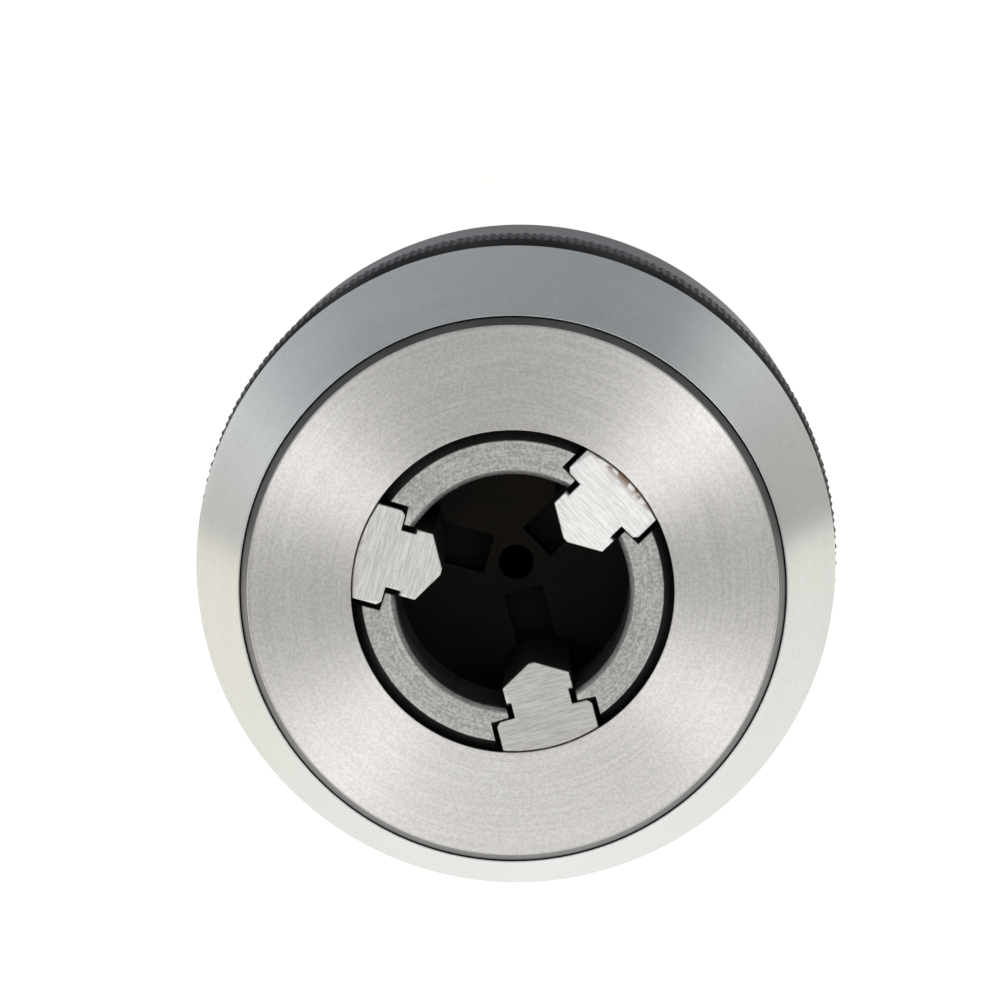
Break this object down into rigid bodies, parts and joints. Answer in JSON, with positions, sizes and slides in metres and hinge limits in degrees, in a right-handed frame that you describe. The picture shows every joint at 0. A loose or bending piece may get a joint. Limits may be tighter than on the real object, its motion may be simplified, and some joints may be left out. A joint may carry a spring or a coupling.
{
  "type": "keyless drill chuck",
  "caption": "Keyless drill chuck: knurled grip turns a left-hand screw that pushes T-section jaws along a cone; taper socket at the rear.",
  "frame": {"origin": "centre of the flat rear face of the hub, on the chuck's axis; the chuck stands on this face", "axes": "+Z along the axis towards the nose, +X and +Y square to it; the first jaw is at 44.5 degrees from +X towards +Y"},
  "size_m": [0.056, 0.056, 0.108],
  "materials": {
    "ground_nose": "hardened steel, circumferentially ground, bright",
    "satin_sleeve": "fine turned steel, satin",
    "knurled_grip": "diamond knurled steel, darkened by use",
    "guide_steel": "plain machined steel, matte grey",
    "jaw_steel": "hardened steel, surface ground",
    "screw_steel": "turned steel, oiled",
    "body_steel": "turned steel",
    "race_steel": "ground and polished bearing steel",
    "cage_brass": "machined brass",
    "ball_steel": "polished bearing ball"
  },
  "bodies": {
    "body": {"body": "body_steel", "rear_ring": "knurled_grip", "race_body": "race_steel"},
    "sleeve": {"grip_sleeve": "knurled_grip", "front_sleeve": "satin_sleeve", "cone_bush": "ground_nose", "jaw_guide": "guide_steel", "race_sleeve": "race_steel"},
    "spindle": {"spindle": "screw_steel"},
    "jaw_1": {"jaw_1": "jaw_steel"},
    "jaw_2": {"jaw_2": "jaw_steel"},
    "jaw_3": {"jaw_3": "jaw_steel"},
    "bearing": {"ball_cage": "cage_brass", "ball_01": "ball_steel", "ball_02": "ball_steel", "ball_03": "ball_steel", "ball_04": "ball_steel", "ball_05": "ball_steel", "ball_06": "ball_steel", "ball_07": "ball_steel", "ball_08": "ball_steel", "ball_09": "ball_steel", "ball_10": "ball_steel", "ball_11": "ball_steel", "ball_12": "ball_steel", "ball_13": "ball_steel", "ball_14": "ball_steel", "ball_15": "ball_steel", "ball_16": "ball_steel", "ball_17": "ball_steel", "ball_18": "ball_steel", "ball_19": "ball_steel", "ball_20": "ball_steel", "ball_21": "ball_steel", "ball_22": "ball_steel", "ball_23": "ball_steel", "ball_24": "ball_steel"}
  },
  "joints": [
    {"name": "sleeve_turn", "type": "hinge", "parent": "body", "child": "sleeve", "pos_m": [0, 0, 0.0455], "axis": [0, 0, -1], "range_deg": [-864, 2016]},
    {"name": "spindle_slide", "type": "slide", "parent": "sleeve", "child": "spindle", "axis": [0, 0, 1], "range_m": [-0.00602, 0.01402]},
    {"name": "jaw_1_slide", "type": "slide", "parent": "sleeve", "child": "jaw_1", "axis": [-0.2204, -0.2166, 0.9511], "range_m": [-0.00633, 0.01474]},
    {"name": "jaw_2_slide", "type": "slide", "parent": "sleeve", "child": "jaw_2", "axis": [0.2978, -0.0826, 0.9511], "range_m": [-0.00633, 0.01474]},
    {"name": "jaw_3_slide", "type": "slide", "parent": "sleeve", "child": "jaw_3", "axis": [-0.0774, 0.2992, 0.9511], "range_m": [-0.00633, 0.01474]},
    {"name": "cage_turn", "type": "hinge", "parent": "body", "child": "bearing", "pos_m": [0, 0, 0.0387], "axis": [0, 0, -1], "range_deg": [-433, 1009]}
  ],
  "couplings": [
    {"joint": "spindle_slide", "follows": "sleeve_turn", "m_per_rad": 0.00039789},
    {"joint": "jaw_1_slide", "follows": "sleeve_turn", "m_per_rad": 0.00041836},
    {"joint": "jaw_2_slide", "follows": "sleeve_turn", "m_per_rad": 0.00041836},
    {"joint": "jaw_3_slide", "follows": "sleeve_turn", "m_per_rad": 0.00041836},
    {"joint": "cage_turn", "follows": "sleeve_turn", "ratio": 0.5}
  ]
}
